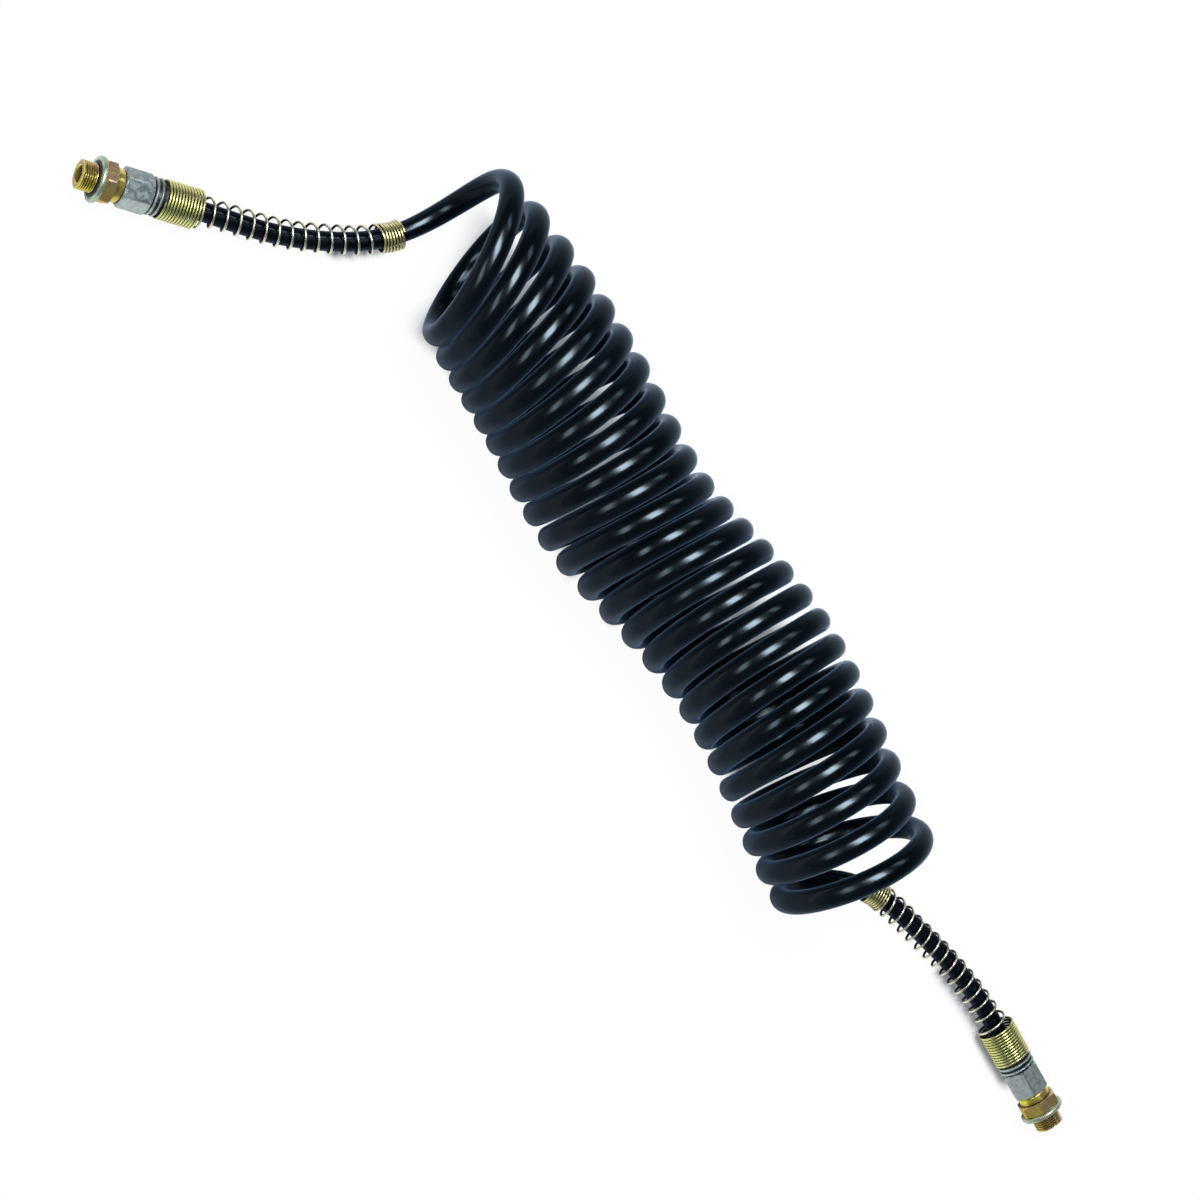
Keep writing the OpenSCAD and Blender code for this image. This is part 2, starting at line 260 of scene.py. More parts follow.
# Colours are linear in all the finishes
hoseFinish = {
    "colours": [(0.35, (0.0003, 0.0005, 0.0008)), (0.7, (0.0014, 0.0024, 0.0038))],  # clean to handled tube
    "rough": [(0.35, 0.16), (0.65, 0.26)],  # clean to handled tube
    "patches": 22,  # scale of the handled patches
    "streaks": (9, 60, 1),  # scale of the streaks along and around the tube
    "streaky": 0.35,  # share of the streaks in the roughness
    "shine": [(0.08, 0.57), (0.2, 0.14), (0.4, 0.025), (1, 0.01)],  # specular level, square on to edge on
    "shineTint": (0.7, 0.87, 1),
    "bending": 1.5,  # index of refraction
    "haze": 0.26,  # weight of the faint haze seen along the edges
    "hazeRough": 0.42,
    "bloom": (0.37, 0.62, 1.0),  # colour of that haze
    "grain": 260,  # scale of the fine grain
    "grainDepth": 0.0002,  # m
    "grainStrength": 0.12,
}


def hoseMaterial(f):
    n = Nodes("blackNylon")
    cloudy = n.noise(f["patches"], detail=4)
    streaks = n.noise(1, stretch=f["streaks"], source=n.place.outputs["UV"])
    n.into("Base Color", n.ramp(cloudy, f["colours"]))
    n.into("Roughness", n.ramp(n.mix(f["streaky"], cloudy, streaks), f["rough"]))
    n.into("Specular IOR Level", n.ramp(n.add("LayerWeight", Blend=0.5).outputs["Facing"], f["shine"]))
    n.fix("Specular Tint", f["shineTint"])
    n.fix("IOR", f["bending"])
    n.fix("Sheen Weight", f["haze"])
    n.fix("Sheen Roughness", f["hazeRough"])
    n.fix("Sheen Tint", f["bloom"])
    n.bump(n.noise(f["grain"], detail=2), f["grainStrength"], f["grainDepth"])
    return n.material


# Colours by cloud, by the side that the surface faces, from -Y to +Y, and by mm along its outline. The
# colours by side are painted light and shade: a surface is painted lighter or darker by the way it faces
zincFinish = {
    "yellow": {"clouds": [(0.36, (0.42, 0.24, 0.17)), (0.46, (0.62, 0.46, 0.12)),
                          (0.54, (0.62, 0.55, 0.13)), (0.64, (0.55, 0.36, 0.27))],
               "sides": [(0.14, (0.90, 0.78, 0.07)), (0.28, (0.62, 0.48, 0.20)),
                         (0.5, (0.52, 0.38, 0.22)), (0.8, (0.60, 0.44, 0.30))],
               # The first band paints the tip's end face darker, a painted shade; the others tint the stud,
               # hexagon and neck
               "bands": [(2.1, (0.45, 0.42, 0.32)), (2.4, (0.9, 0.88, 0.75)), (17, (0.9, 0.88, 0.75)),
                         (24.5, (1.0, 0.86, 0.9)), (35, (1.0, 0.86, 0.9)), (36.3, (1.0, 1.0, 0.55))],
               "length": 50, "metal": 0.76, "rough": 0.18, "cloud": 90, "marks": 0.12},
    "silver": {"clouds": [(0.40, (0.06, 0.08, 0.09)), (0.48, (0.15, 0.18, 0.19)),
                          (0.58, (0.29, 0.32, 0.32))],
               "sides": [(0.13, (0.80, 0.81, 0.75)), (0.18, (0.70, 0.78, 0.72)),
                         (0.5, (0.07, 0.095, 0.105)), (0.61, (0.40, 0.43, 0.40)),
                         (0.83, (0.16, 0.19, 0.18))],
               "metal": 0.5, "rough": 0.26, "cloud": 380, "marks": 0.15},
    "ring": {"clouds": [(0.36, (0.20, 0.27, 0.19)), (0.50, (0.44, 0.52, 0.40)), (0.62, (0.54, 0.50, 0.34))],
             "sides": [(0.2, (0.46, 0.54, 0.42)), (0.8, (0.44, 0.52, 0.36))],
             "metal": 0.75, "rough": 0.28, "cloud": 90, "marks": 0.15},
    "wire": {"clouds": [(0.38, (0.70, 0.56, 0.46)), (0.48, (0.80, 0.80, 0.58)), (0.60, (0.86, 0.77, 0.68))],
             "sides": [(0.2, (0.82, 0.82, 0.62)), (0.5, (0.78, 0.75, 0.58)), (0.8, (0.80, 0.69, 0.62))],
             "bands": [(860, (0.85, 0.88, 0.42)), (880, (0.95, 0.93, 0.88)), (1590, (0.95, 0.93, 0.88)),
                       (1610, (0.86, 0.82, 0.5))],
             "length": 2000, "metal": 0.88, "rough": 0.20, "cloud": 60, "marks": 0.02},
    "brass": {"clouds": [(0.30, (0.60, 0.42, 0.16)), (0.60, (0.85, 0.66, 0.32))],
              "sides": [(0.2, (0.80, 0.62, 0.30)), (0.8, (0.70, 0.50, 0.24))],
              "metal": 1, "rough": 0.28, "cloud": 90, "marks": 0.15},
}
# Wear on the zinc, as dull spots and small marks, and painted shade in its hollows
zincWearAndHollowShade = {
    "paintedHollowShade": [(0.46, (0.06, 0.055, 0.05)), (0.5, (1.0, 1.0, 1.0))],  # colour kept, from hollow to flat: painted shade in the hollows
    "spots": 5,  # scale of the dull spots, for each unit of the clouds' scale
    "spotRise": (0.3, 0.75),  # noise between which the roughness goes up
    "spotRough": 0.16,  # roughness that a spot adds
    "marks": 14,  # scale of the small marks, for each unit of the clouds' scale
    "markDepth": 0.0002,  # m
}
# Painted shade on the guard's wire: darker near the floor and on its inner side, towards the hose
wirePaintedShade = {
    "below": 0.0105,  # m above the floor
    "low": [(0.4, (0.14, 0.11, 0.10)), (0.6, (1.0, 1.0, 1.0))],  # colour kept, around that height: painted shade, darker towards the floor
    "inner": [(0.11, (1.0, 1.0, 1.0)), (0.22, (0.12, 0.10, 0.09))],  # colour kept, from outer to inner side: painted shade on the inner side
}


def zincMaterial(name, f, wound=False):
    n = Nodes(name)
    # Painted light and shade: the sides ramp makes each face lighter or darker by the way it faces
    side = n.calc("MULTIPLY_ADD", n.apart(n.place.outputs["Normal"])["Y"], 0.5, 0.5)
    platingAndPaintedLight = n.mix(0.5, n.ramp(n.noise(f["cloud"], detail=4), f["clouds"]), n.ramp(side, f["sides"]))
    # Painted shade: darker in the hollows between threads, ribs and corners
    platingAndPaintedLight = n.times(platingAndPaintedLight, n.ramp(n.add("NewGeometry").outputs["Pointiness"], zincWearAndHollowShade["paintedHollowShade"]))
    run = n.apart(n.place.outputs["UV"])
    if "bands" in f:
        along = n.calc("MULTIPLY", run["X"], 1 / mm / f["length"])
        platingAndPaintedLight = n.times(platingAndPaintedLight, n.ramp(along, [(at / f["length"], c) for at, c in f["bands"]]))
    if wound:
        # Painted shade on the wire, low down and on its inner side
        height = n.calc("DIVIDE", n.apart(n.place.outputs["Object"])["Z"], 2 * wirePaintedShade["below"])
        platingAndPaintedLight = n.times(platingAndPaintedLight, n.ramp(height, wirePaintedShade["low"]))
        platingAndPaintedLight = n.times(platingAndPaintedLight, n.ramp(n.calc("PINGPONG", run["Y"], 0.5), wirePaintedShade["inner"]))
    n.into("Base Color", platingAndPaintedLight)
    spots = n.noise(f["cloud"] * zincWearAndHollowShade["spots"])
    bare, spotted = zincWearAndHollowShade["spotRise"]
    n.into("Roughness", n.ramp(spots, [(bare, f["rough"]), (spotted, f["rough"] + zincWearAndHollowShade["spotRough"])]))
    n.fix("Metallic", f["metal"])
    n.bump(n.noise(f["cloud"] * zincWearAndHollowShade["marks"], detail=2), f["marks"], zincWearAndHollowShade["markDepth"])
    return n.material


rubberFinish = {
    "colours": [(0.3, (0.006, 0.006, 0.007)), (0.7, (0.014, 0.014, 0.016))],
    "rough": [(0.3, 0.45), (0.7, 0.62)],
    "scales": (300, 700, 1500),  # of the colours, the roughness and the grain
    "grainStrength": 0.2,
    "grainDepth": 0.0001,  # m
}


def rubberMaterial(f):
    n = Nodes("sealRubber")
    colours, rough, grain = f["scales"]
    n.into("Base Color", n.ramp(n.noise(colours), f["colours"]))
    n.into("Roughness", n.ramp(n.noise(rough, detail=2), f["rough"]))
    n.bump(n.noise(grain, detail=2), f["grainStrength"], f["grainDepth"])
    return n.material


hoseLook = hoseMaterial(hoseFinish)
yellowLook = zincMaterial("yellowZinc", zincFinish["yellow"])
silverLook = zincMaterial("silverZinc", zincFinish["silver"])
ringLook = zincMaterial("ringZinc", zincFinish["ring"])
wireLook = zincMaterial("springWire", zincFinish["wire"], wound=True)
brassLook = zincMaterial("brass", zincFinish["brass"])
rubberLook = rubberMaterial(rubberFinish)
print("materials made")


endPieces = {  # tips in mm, the rest in degrees
    "a": {"tip": (-428.5, -111, 14.8), "heading": 41, "droop": 1.5, "bodyTurn": 0, "nutTurn": 30},
    "b": {"tip": (433.5, 102.5, 14.8), "heading": 178, "droop": 1.5, "bodyTurn": 42, "nutTurn": 42},
}
hose = {
    "radius": 6,  # mm
    "lumen": 4.5,  # mm, radius of the bore
    "start": 23.15,  # mm from each stud's tip to the hose's cut end
    "straight": 80,  # mm from each stud's tip that are straight
    "straightStep": 20,  # mm between the points up to there
    "routes": {  # mm, on to the coil
        "a": [(-354, -47, 12.4), (-339, -34, 11.6), (-325, -20, 10.9), (-312, -4, 10.3),
              (-300, 13, 9.9), (-291.5, 31, 9.6), (-286.8, 48, 9.7), (-285.2, 63, 11.8),
              (-285.4, 76.2, 18.2), (-286.8, 87.2, 28.2), (-288.9, 94.7, 41), (-290.8, 98, 54)],
        "b": [(334, 105.5, 11.9), (315, 103.6, 11.1), (296, 100.2, 10.5), (277, 95.8, 10.1),
              (258.5, 91.2, 9.8), (242, 85.8, 9.6), (228, 78.5, 9.3), (216, 69.6, 8.4),
              (207, 58.6, 7.9), (200, 45.8, 10.1), (194, 34, 16.7), (189.2, 24.2, 27),
              (186, 17.8, 40), (184.7, 15.2, 54.5)],
    },
    "lineSteps": 6,  # smooth steps between two points of the whole hose
    "tailSteps": 5,  # the same on a tail by itself
    "step": 6,  # mm between rings of the mesh
    "sides": 24,  # points in a ring
    "open": 60,  # mm that the bore stays open from each end
    "easing": 40,  # mm of hose on each side of the coil's beginning that is evened out
    "easingRounds": 8,
    "rounds": 80,  # rounds in which the whole hose is evened out
    "pull": 0.5,  # share of the way to its neighbours' middle that a point goes in a round
    "push": -0.508,  # and then back out, so that no bend shrinks
    "sharpAngle": 50,
}
coil = {
    "radius": 48,  # mm, to the middle of the hose
    "along": 7.7,  # mm, half thickness of the hose along the coil, where the turns are pressed oval
    "outward": 6.5,  # mm, half thickness outwards from the coil's middle
    "spread": 105,  # mm of tail over which the hose goes from round to oval
    "turns": 23.5,
    "perTurn": 16,  # points in each turn
    "rowTurns": 2,  # turns between two rows
    "rows": [  # middle x and y in mm, direction and lean in degrees
        (-267, 55.5, 29, 8.5), (-224.5, 58, 15.5, 12), (-187.5, 59.5, 6.5, 10.5),
        (-151.5, 59, 0, 8), (-114, 56.5, -6.5, 8.5), (-75, 56.5, -11.5, 12.5),
        (-35.5, 63.5, -11.5, 17), (4, 72, -10, 20), (44, 77, -9, 21), (82.5, 76, -8, 18.5),
        (121, 71.5, -8.5, 13), (162.5, 65.5, -11, 6), (210, 61.5, -17, 0)],
}


# From a stud's tip, in mm along its axis towards the hose
def inwards(end, distance):
    return Vector(end["tip"]) + pointing(end["heading"], -end["droop"]) * distance


# From the stud's tip along the straight end piece and on to the coil
def tailPoints(key):
    distances = range(0, hose["straight"] + 1, hose["straightStep"])
    return [inwards(endPieces[key], t) for t in distances] + [Vector(p) for p in hose["routes"][key]]


def tailLine(key):
    return throughPoints(tailPoints(key), hose["tailSteps"])


def coilRow(turn):
    rows = [Vector(row) for row in coil["rows"]]
    i = min(int(turn // coil["rowTurns"]), len(rows) - 2)
    b, c = rows[i], rows[i + 1]
    a = rows[i - 1] if i > 0 else 2 * b - c
    d = rows[i + 2] if i + 2 < len(rows) else 2 * c - b
    return curvePoint(a, b, c, d, turn / coil["rowTurns"] - i)


# One point of the right-handed coil; each turn stands on the floor and leans with its row
def coilPoint(turn):
    x, y, heading, lean = coilRow(turn)
    across = pointing(heading + 90, 0)
    up = pointing(heading, lean).cross(across)
    lean, angle = math.radians(lean), 2 * math.pi * turn
    under = math.hypot(coil["along"] * math.sin(lean), coil["outward"] * math.cos(lean))
    middle = Vector((x, y, under + coil["radius"] * math.cos(lean)))
    return middle + coil["radius"] * (math.cos(angle) * across + math.sin(angle) * up)


# The tails' last points give way to the coil's own ends
def hoseLine():
    count = round(coil["turns"] * coil["perTurn"])
    wound = [coilPoint(coil["turns"] * i / count) for i in range(count + 1)]
    tailA, tailB = (tailPoints(key)[:-1] for key in endPieces)
    line = throughPoints(tailA + wound + tailB[::-1], hose["lineSteps"])
    lengths = runningLength(line)
    cut = [p for p, s in zip(line, lengths) if hose["start"] < s < lengths[-1] - hose["start"]]
    firstCut, lastCut = (inwards(end, hose["start"]) for end in endPieces.values())
    return eased(evenly([firstCut, *cut, lastCut], hose["step"]))


# Lengths along the hose at which the coil begins and ends
def coilSpan(line):
    tails = [runningLength(tailLine(key))[-1] - hose["start"] for key in endPieces]
    return tails[0], runningLength(line)[-1] - tails[1]


# Evens out the bends, most of all where the coil begins, and leaves the coil as wide as it was
def eased(line):
    join = coilSpan(line)[0]
    away = [abs(i * hose["step"] - join) / hose["easing"] for i in range(len(line))]
    byJoin = [max(0, 1 - share) * hose["pull"] for share in away]
    inAndOut = [[hose[way]] * len(line) for way in ("pull", "push")]
    for shares in [byJoin] * hose["easingRounds"] + inAndOut * hose["rounds"]:
        line = [line[0], *(p + share * ((a + b) / 2 - p)
                           for a, p, b, share in zip(line, line[1:], line[2:], shares[1:])), line[-1]]
    return line


def easeIn(t):
    t = min(1, max(0, t))
    return t * t * (3 - 2 * t)


# Makes a ring's offset oval, wider along the coil than outwards, within the coil
def pressedOval(offset, ahead, s, span):
    start, end = span
    spread = coil["spread"]
    share = easeIn((s - start + spread) / spread) * easeIn((end + spread - s) / spread)
    turn = coil["turns"] * min(1, max(0, (s - start) / (end - start)))
    axis = pointing(*coilRow(turn)[2:])
    axis = (axis - ahead * axis.dot(ahead)).normalized()
    along, outward = (1 + share * (coil[k] / hose["radius"] - 1) for k in ("along", "outward"))
    part = axis * offset.dot(axis)
    return part * along + (offset - part) * outward


# The tube's rows run from inside one end, over the outside, to inside the other end
def makeHose():
    line = hoseLine()
    span = coilSpan(line)
    frames = steadyFrames(line, Vector((0, 0, 1)))
    inside = round(hose["open"] / hose["step"])
    last = len(line) - 1
    stations = ([(i, hose["lumen"]) for i in range(inside, -1, -1)]
                + [(i, hose["radius"]) for i in range(last + 1)]
                + [(i, hose["lumen"]) for i in range(last, last - inside - 1, -1)])
    rows = []
    for i, radius in stations:
        u, v = frames[i]
        offsets = [radius * (math.cos(a) * u + math.sin(a) * v) for a in anglesAround(hose["sides"])]
        rows.append([(line[i] + pressedOval(o, u.cross(v), i * hose["step"], span)) * mm for o in offsets])
    uvs = [i * hose["step"] * mm for i, _ in stations]
    mesh = gridMesh("airHose", rows, uvs, caps=True)
    return addObject("airHose", mesh, hoseLook, hose["sharpAngle"]), line, stations, span


hosePiece, hosePath, hoseStations, hoseSpan = makeHose()
print("hose wound,", round(runningLength(hosePath)[-1]), "mm long")


# In mm; starts, ends and other places are distances from the stud's tip
stud = {
    "radius": 9, "length": 9.2, "chamfer": 1,
    "bore": 5.3, "mouth": 0.5,  # radius, and how much wider it is at the tip
    "threadStart": 0.35, "threadEnd": 8.9, "shoulder": 8.3,  # the last is the radius where the thread stops
    "undercut": 8.2,  # radius under the O-ring and the retaining ring
}
body = {
    "hexStart": 13.15, "hexEnd": 20.85, "acrossFlats": 24,
    "neck": 10.3, "neckEnd": 25.95, "neckRound": 0.9,
    "neckFoot": [(0, 0.5), (0.25, 0.1), (0.7, 0)],  # from the hexagon, and out from the neck
    "union": 9, "threadStart": 26.05, "threadEnd": 36.25, "unionEnd": 36.45,  # the thread under the nut
    "socket": 6.1, "socketStart": 22.05,  # takes the hose's end
    "coneStart": 32.25, "coneMouth": 6.99, "coneEdge": 0.3,  # takes the cutting ring
}
nut = {
    "front": 26.35, "mouth": 0.6, "acrossFlats": 22, "hexEnd": 44.65,
    "ribs": (45.45, 48.75), "ribWidth": 1.7, "rib": 11.7, "groove": 10.5,
    "spigot": 9.9, "end": 59.95, "edge": 0.5,  # carries the guard
    "thread": 9.05, "threadDepth": 0.7,
    "chamber": 8.3, "chamberStart": 36.65, "coneTop": 38.5, "coneBottom": 40.4,  # press the cutting ring
    "hole": 6.4,  # lets the hose through
}
ring = {
    "front": 9.9, "back": 13.1, "outer": 14.2, "inner": 9.1, "round": 1.2,
    "cup": 11.35, "floor": 12.3,  # hold the O-ring
}
thread = {
    "pitch": 1.5,
    "depth": 0.85,
    "rows": 10,  # in each turn
    "runOut": 1.2,  # share of the full depth that it gains in a turn from either end
    "crest": 0.12,  # share of the pitch that is flat at the top
    "flanks": 0.72,  # share of the pitch that slopes
}
hexagon = {
    "chamfer": 0.2,  # mm that the end faces' circles lie inside the flats
    "blunt": 0.18,  # mm taken off the corners
    "steps": 8,  # rows across a chamfer
}
turned = {
    "columns": 96,  # points around a turned piece
    "sharpAngle": 24,
}


def atEnd(end, turn):
    return (Matrix.Translation(Vector(end["tip"]))
            @ Matrix.Rotation(math.radians(end["heading"]), 4, "Z")
            @ Matrix.Rotation(math.radians(90 + end["droop"]), 4, "Y")
            @ Matrix.Rotation(math.radians(turn), 4, "Z"))


# Rows are (distance from the tip, radius), where a radius may depend on the angle
def turnedPiece(name, profile, end, turn, material):
    place = Matrix.Scale(mm, 4) @ atEnd(end, turn)
    rows = []
    for z, radius in profile:
        row = []
        for a in anglesAround(turned["columns"]):
            r = radius(a) if callable(radius) else radius
            row.append(place @ Vector((r * math.cos(a), r * math.sin(a), z)))
        rows.append(row)
    uvs = [0.0]
    sizes = [(z, r(0) if callable(r) else r) for z, r in profile]
    for (z, r), (z2, r2) in zip(sizes, sizes[1:] + sizes[:1]):
        uvs.append(uvs[-1] + math.hypot(z2 - z, r2 - r) * mm)
    return addObject(name, gridMesh(name, rows, uvs, wrapRows=True), material, turned["sharpAngle"])


# Rows over an arc about a point; its angles are 0 outwards and 90 degrees away from the tip
def arcRows(z, r, radius, start, end, steps):
    angles = [math.radians(start + (end - start) * k / steps) for k in range(steps + 1)]
    return [(z + radius * math.sin(t), r + radius * math.cos(t)) for t in angles]


# Right-hand thread between two distances, fading out at both; turn and shift line it up with its mate
def threadRows(start, end, top, depth, turn, shift=0.0):
    pitch = thread["pitch"]
    count = round((end - start) / pitch * thread["rows"])
    rows = []
    for i in range(count + 1):
        z = start + (end - start) * i / count
        full = min(1, (z - start) / pitch * thread["runOut"], (end - z) / pitch * thread["runOut"])

        def radius(a, z=z, full=full):
            phase = (z / pitch - (a + math.radians(turn)) / (2 * math.pi) + shift) % 1
            groove = min(1, max(0, (abs(2 * phase - 1) - thread["crest"]) / thread["flanks"]))
            return top - depth * full * groove
        rows.append((z, radius))
    return rows


# Hexagon with turned chamfers at both ends and slightly rounded corners
def hexRows(start, end, acrossFlats):
    flat, corner = acrossFlats / 2 - hexagon["chamfer"], acrossFlats / 2 / math.cos(math.pi / 6)
    rise = (corner - flat) * math.tan(math.pi / 6)
    steps = hexagon["steps"]

    def radiusUnder(limit):
        def radius(a):
            off = (a + math.pi / 6) % (math.pi / 3) - math.pi / 6
            return min(acrossFlats / 2 / math.cos(math.pi / 6 - abs(off)), corner - hexagon["blunt"], limit)
        return radius
    low = [(start + rise * k / steps, radiusUnder(flat + (corner - flat) * k / steps))
           for k in range(steps + 1)]
    high = [(start + end - z, radius) for z, radius in reversed(low)]
    return low + high


def makeConnector(key, end):
    turn = end["bodyTurn"]
    core = (body["union"] + body["coneMouth"]) / 2 + body["coneEdge"]
    neckRound = body["neckRound"]
    profile = [(0, stud["bore"] + stud["mouth"]), (0, stud["radius"] - stud["chamfer"])]
    profile += threadRows(stud["threadStart"], stud["threadEnd"], stud["radius"], thread["depth"], turn)
    profile += [(stud["length"], stud["shoulder"]), (stud["length"], stud["undercut"]),
                (body["hexStart"], stud["undercut"])]
    profile += hexRows(body["hexStart"], body["hexEnd"], body["acrossFlats"])
    profile += [(body["hexEnd"] + z, body["neck"] + r) for z, r in body["neckFoot"]]
    profile += arcRows(body["neckEnd"] - neckRound, body["neck"] - neckRound, neckRound, 0, 90, steps=4)
    profile += [(body["neckEnd"], body["union"])]
    profile += threadRows(body["threadStart"], body["threadEnd"], body["union"], thread["depth"], turn)
    profile += [(body["unionEnd"], core), (body["unionEnd"], body["coneMouth"]),
                (body["coneStart"], body["socket"]), (body["socketStart"], body["socket"]),
                (body["socketStart"], stud["bore"]), (stud["mouth"], stud["bore"])]
    return turnedPiece("connector_" + key, profile, end, turn, yellowLook)


def makeNut(key, end):
    turn = end["nutTurn"]
    half, edge = nut["ribWidth"] / 2, nut["edge"]
    profile = [(nut["front"], nut["thread"] + nut["mouth"])]
    profile += hexRows(nut["front"], nut["hexEnd"], nut["acrossFlats"])
    profile += [(nut["hexEnd"], nut["spigot"])]
    for start in nut["ribs"]:
        profile += arcRows(start + half, nut["rib"] - half, half, -90, 90, steps=8)
        profile += [(start + 2 * half, nut["groove"])]
    profile += [(nut["ribs"][1] + nut["ribWidth"], nut["spigot"]), (nut["end"] - edge, nut["spigot"]),
                (nut["end"], nut["spigot"] - edge), (nut["end"], nut["hole"] + edge),
                (nut["end"] - edge, nut["hole"]), (nut["coneBottom"], nut["hole"]),
                (nut["coneTop"], nut["chamber"]), (nut["chamberStart"], nut["chamber"])]
    inside = threadRows(nut["front"] + nut["mouth"], body["unionEnd"], nut["thread"], nut["threadDepth"],
                        turn, shift=0.5)
    profile += inside[::-1]
    return turnedPiece("nut_" + key, profile, end, turn, silverLook)


def makeRing(key, end):
    r = ring["round"]
    profile = [(ring["front"], ring["cup"])]
    profile += arcRows(ring["front"] + r, ring["outer"] - r, r, -90, 0, steps=5)
    profile += arcRows(ring["back"] - r, ring["outer"] - r, r, 0, 90, steps=5)
    profile += [(ring["back"], ring["inner"]), (ring["floor"], ring["inner"]), (ring["floor"], ring["cup"])]
    return turnedPiece("retainingRing_" + key, profile, end, 0, ringLook)


guard = {
    "wire": 0.82,  # mm, radius of the wire
    "start": 52.45,  # mm from the stud's tip to the first turn
    "turns": (12, 14, 7),  # close on the nut, open, close on the hose
    "pitches": (1.95, 8.5, 1.95),  # mm
    "radii": [(0, 11.5), (12, 11.5), (12.9, 8.3), (33, 8.3)],  # mm by turn
    "aside": [(0, 0), (12, 0), (15, 1.2), (23, 1.2), (29, -0.8), (33, -0.9)],  # to the bend's inner side
    "trim": 0.03,  # turns cut off at each end
    "perTurn": 32,  # rings in each turn
    "sides": 10,  # points in a ring
    "side": {"a": (0.86, -0.51, 0), "b": (0.8, -0.6, 0)},  # the wire starts square to this and the hose
    "sharpAngle": 60,
}


# Value at x in a table of (x, value)
def between(table, x):
    for (x0, y0), (x1, y1) in zip(table, table[1:]):
        if x <= x1:
            return y0 + (y1 - y0) * max(0, x - x0) / (x1 - x0)
    return table[-1][1]


def guardTravel(turn):
    travel = 0
    for turns, pitch in zip(guard["turns"], guard["pitches"]):
        travel += pitch * min(max(turn, 0), turns)
        turn -= turns
    return travel


# One wire wound from the nut's spigot along the curve of the hose
def makeGuard(key):
    line = tailLine(key)
    lengths = runningLength(line)
    side = Vector(guard["side"][key])

    def placeAt(s):
        k = max(i for i in range(len(line) - 1) if lengths[i] <= s)
        return line[k].lerp(line[k + 1], (s - lengths[k]) / (lengths[k + 1] - lengths[k]))

    def wirePoint(turn):
        s = guard["start"] + guardTravel(turn)
        middle = placeAt(s)
        ahead = (placeAt(s + 1) - placeAt(s - 1)).normalized()
        u = side.cross(ahead).normalized()
        a = 2 * math.pi * turn
        radius = between(guard["radii"], turn)
        aside = Vector((-ahead.y, ahead.x, 0)).normalized() * between(guard["aside"], turn)
        outward = math.cos(a) * u + math.sin(a) * ahead.cross(u)
        return middle + aside + radius * outward, outward

    total, trim = sum(guard["turns"]), guard["trim"]
    count = total * guard["perTurn"]
    wire, outwards = zip(*(wirePoint(trim + (total - 2 * trim) * i / count) for i in range(count + 1)))
    rows = []
    for i, (point, outward) in enumerate(zip(wire, outwards)):
        ahead = (wire[min(i + 1, count)] - wire[max(i - 1, 0)]).normalized()
        u = (outward - ahead * outward.dot(ahead)).normalized()
        rows.append([(point + guard["wire"] * (math.cos(a) * u + math.sin(a) * ahead.cross(u))) * mm
                     for a in anglesAround(guard["sides"])])
    uvs = [s * mm for s in runningLength(wire)]
    name = "kinkGuard_" + key
    obj = addObject(name, gridMesh(name, rows, uvs, caps=True), wireLook, guard["sharpAngle"])
    return obj, placeAt(guard["start"]) * mm, placeAt(guard["start"] + guardTravel(total)) * mm


pieces = {}
for key, end in endPieces.items():
    anchor = "hose" if key == "a" else "end_b"
    pieces[key] = {"connector": makeConnector(key, end), "nut": makeNut(key, end),
                   "ring": makeRing(key, end)}
    for part, carrier, node in (("connector", anchor, "connector_body_"),
                                ("nut", "nut_" + key, "union_nut_"),
                                ("ring", anchor, "retaining_ring_")):
        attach(pieces[key][part], carrier)
        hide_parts(node + key)
    spring, springStart, springEnd = makeGuard(key)
    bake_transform(spring)
    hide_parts("guard_spring_" + key)
    pieces[key]["guard"] = spring
print("end pieces and guards made")

# The pieces that keep their CAD shape
for name, look in (("o_ring_", rubberLook), ("ferrule_", brassLook), ("support_sleeve_", brassLook)):
    for key in endPieces:
        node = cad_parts[name + key]
        node.data.materials.clear()
        node.data.materials.append(look)


# Works out a weight for each ring of the tube, from 0 where the coil begins to 1 where it ends, and uses
# them for nothing
def openTurnByTurn(path, stations, span):
    start, end = span
    lengths = runningLength(path)
    weights = []
    for i, _ in stations:
        weights += [min(1, max(0, (lengths[i] - start) / (end - start)))] * hose["sides"]


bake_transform(hosePiece)
openTurnByTurn(hosePath, hoseStations, hoseSpan)
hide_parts("hose_coil", "hose_tail_a", "hose_tail_b")


